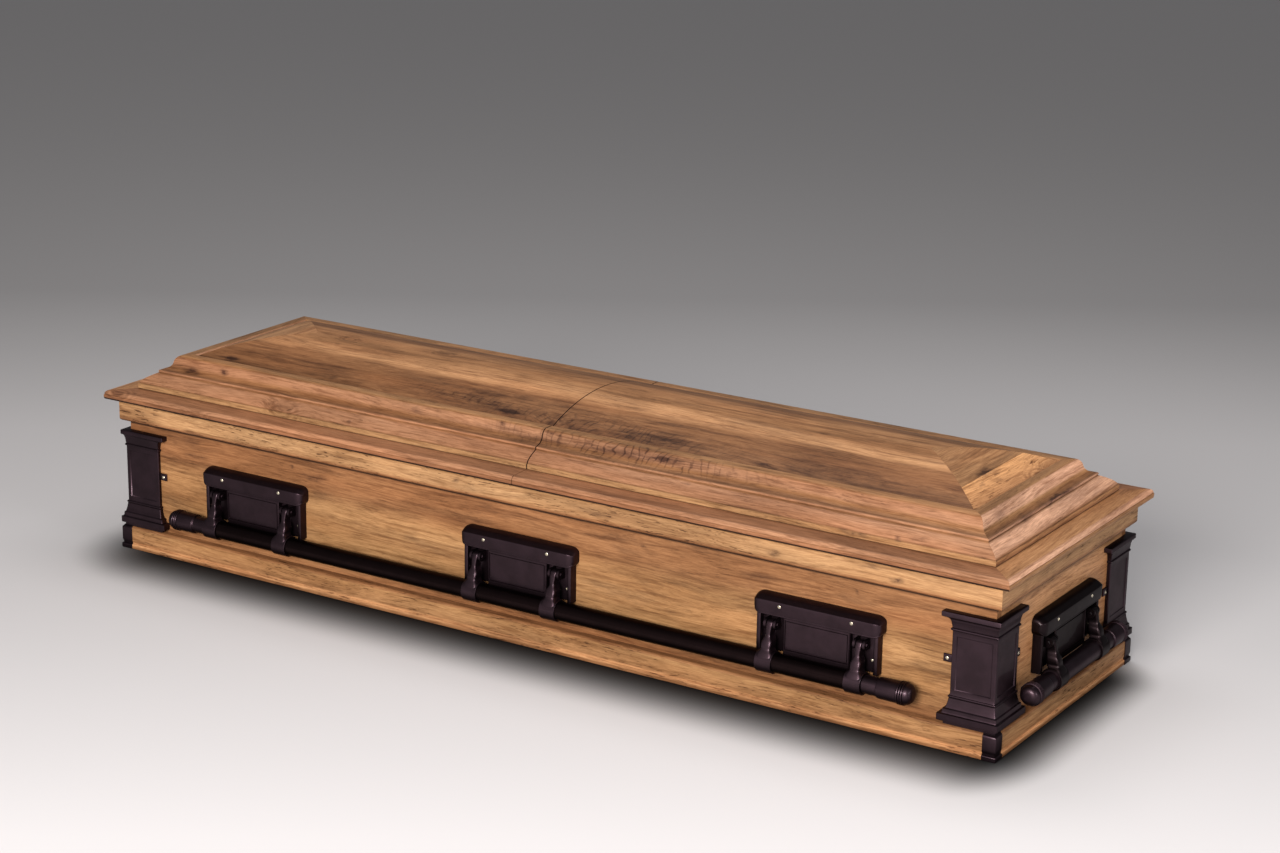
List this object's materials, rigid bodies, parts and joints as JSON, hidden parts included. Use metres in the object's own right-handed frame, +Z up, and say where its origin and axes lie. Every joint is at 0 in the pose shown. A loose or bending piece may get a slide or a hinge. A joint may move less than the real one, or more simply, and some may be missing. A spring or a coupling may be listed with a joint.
{
  "type": "wooden coffin",
  "caption": "Full-size wooden coffin with a domed lid in two leaves, stepped mouldings, dark metal corner posts and swing-bar handles on all sides.",
  "frame": {"origin": "on the floor under the middle of the box", "axes": "+X along the length to the foot end, +Z up, the front is the -Y side"},
  "size_m": [2.169, 0.688, 0.464],
  "materials": {
    "panel_wood": "satin, weathered grain",
    "pale_wood": "satin, knotty grain",
    "rim_wood": "satin",
    "crown_wood": "satin",
    "inside_wood": "bare, planed",
    "dark_casting": "satin dark plum",
    "bar_finish": "satin near-black brown",
    "nickel": "bright nickel screws"
  },
  "bodies": {
    "root": {"base_moulding": "pale_wood", "bottom_board": "inside_wood", "side_panel_front": "panel_wood", "side_panel_back": "panel_wood", "end_panel_head": "panel_wood", "end_panel_foot": "panel_wood", "top_moulding_front": "pale_wood", "top_moulding_back": "pale_wood", "top_moulding_foot": "pale_wood", "top_moulding_head": "pale_wood", "lid_head_rim_front": "rim_wood", "lid_head_crown_front": "crown_wood", "lid_head_rim_back": "rim_wood", "lid_head_crown_back": "crown_wood", "lid_head_rim_end": "rim_wood", "lid_head_crown_end": "crown_wood", "lid_head_panel": "panel_wood", "lid_foot_rim_front": "rim_wood", "lid_foot_crown_front": "crown_wood", "lid_foot_rim_back": "rim_wood", "lid_foot_crown_back": "crown_wood", "lid_foot_rim_end": "rim_wood", "lid_foot_crown_end": "crown_wood", "lid_foot_panel": "panel_wood", "corner_post_front_foot": "dark_casting", "base_guard_front_foot": "dark_casting", "corner_post_back_foot": "dark_casting", "base_guard_back_foot": "dark_casting", "corner_post_back_head": "dark_casting", "base_guard_back_head": "dark_casting", "corner_post_front_head": "dark_casting", "base_guard_front_head": "dark_casting", "handle_plate_front_left": "dark_casting", "handle_plate_front_middle": "dark_casting", "handle_plate_front_right": "dark_casting", "handle_plate_back_left": "dark_casting", "handle_plate_back_middle": "dark_casting", "handle_plate_back_right": "dark_casting", "handle_plate_foot": "dark_casting", "handle_plate_head": "dark_casting"},
    "swing_front": {"handle_arm_front_1": "dark_casting", "handle_arm_front_2": "dark_casting", "handle_arm_front_3": "dark_casting", "handle_arm_front_4": "dark_casting", "handle_arm_front_5": "dark_casting", "handle_arm_front_6": "dark_casting", "handle_bar_front": "bar_finish"},
    "swing_back": {"handle_arm_back_1": "dark_casting", "handle_arm_back_2": "dark_casting", "handle_arm_back_3": "dark_casting", "handle_arm_back_4": "dark_casting", "handle_arm_back_5": "dark_casting", "handle_arm_back_6": "dark_casting", "handle_bar_back": "bar_finish"},
    "swing_foot": {"handle_arm_foot_1": "dark_casting", "handle_arm_foot_2": "dark_casting", "handle_bar_foot": "bar_finish"},
    "swing_head": {"handle_arm_head_1": "dark_casting", "handle_arm_head_2": "dark_casting", "handle_bar_head": "bar_finish"}
  },
  "joints": [
    {"name": "swing_front_hinge", "type": "hinge", "parent": "root", "child": "swing_front", "pos_m": [0, -0.3095, 0.17], "axis": [-1, 0, 0], "range_deg": [0, 85]},
    {"name": "swing_back_hinge", "type": "hinge", "parent": "root", "child": "swing_back", "pos_m": [0, 0.3095, 0.17], "axis": [1, 0, 0], "range_deg": [0, 85]},
    {"name": "swing_foot_hinge", "type": "hinge", "parent": "root", "child": "swing_foot", "pos_m": [1.05, 0, 0.17], "axis": [0, -1, 0], "range_deg": [0, 85]},
    {"name": "swing_head_hinge", "type": "hinge", "parent": "root", "child": "swing_head", "pos_m": [-1.05, 0, 0.17], "axis": [0, 1, 0], "range_deg": [0, 85]}
  ]
}
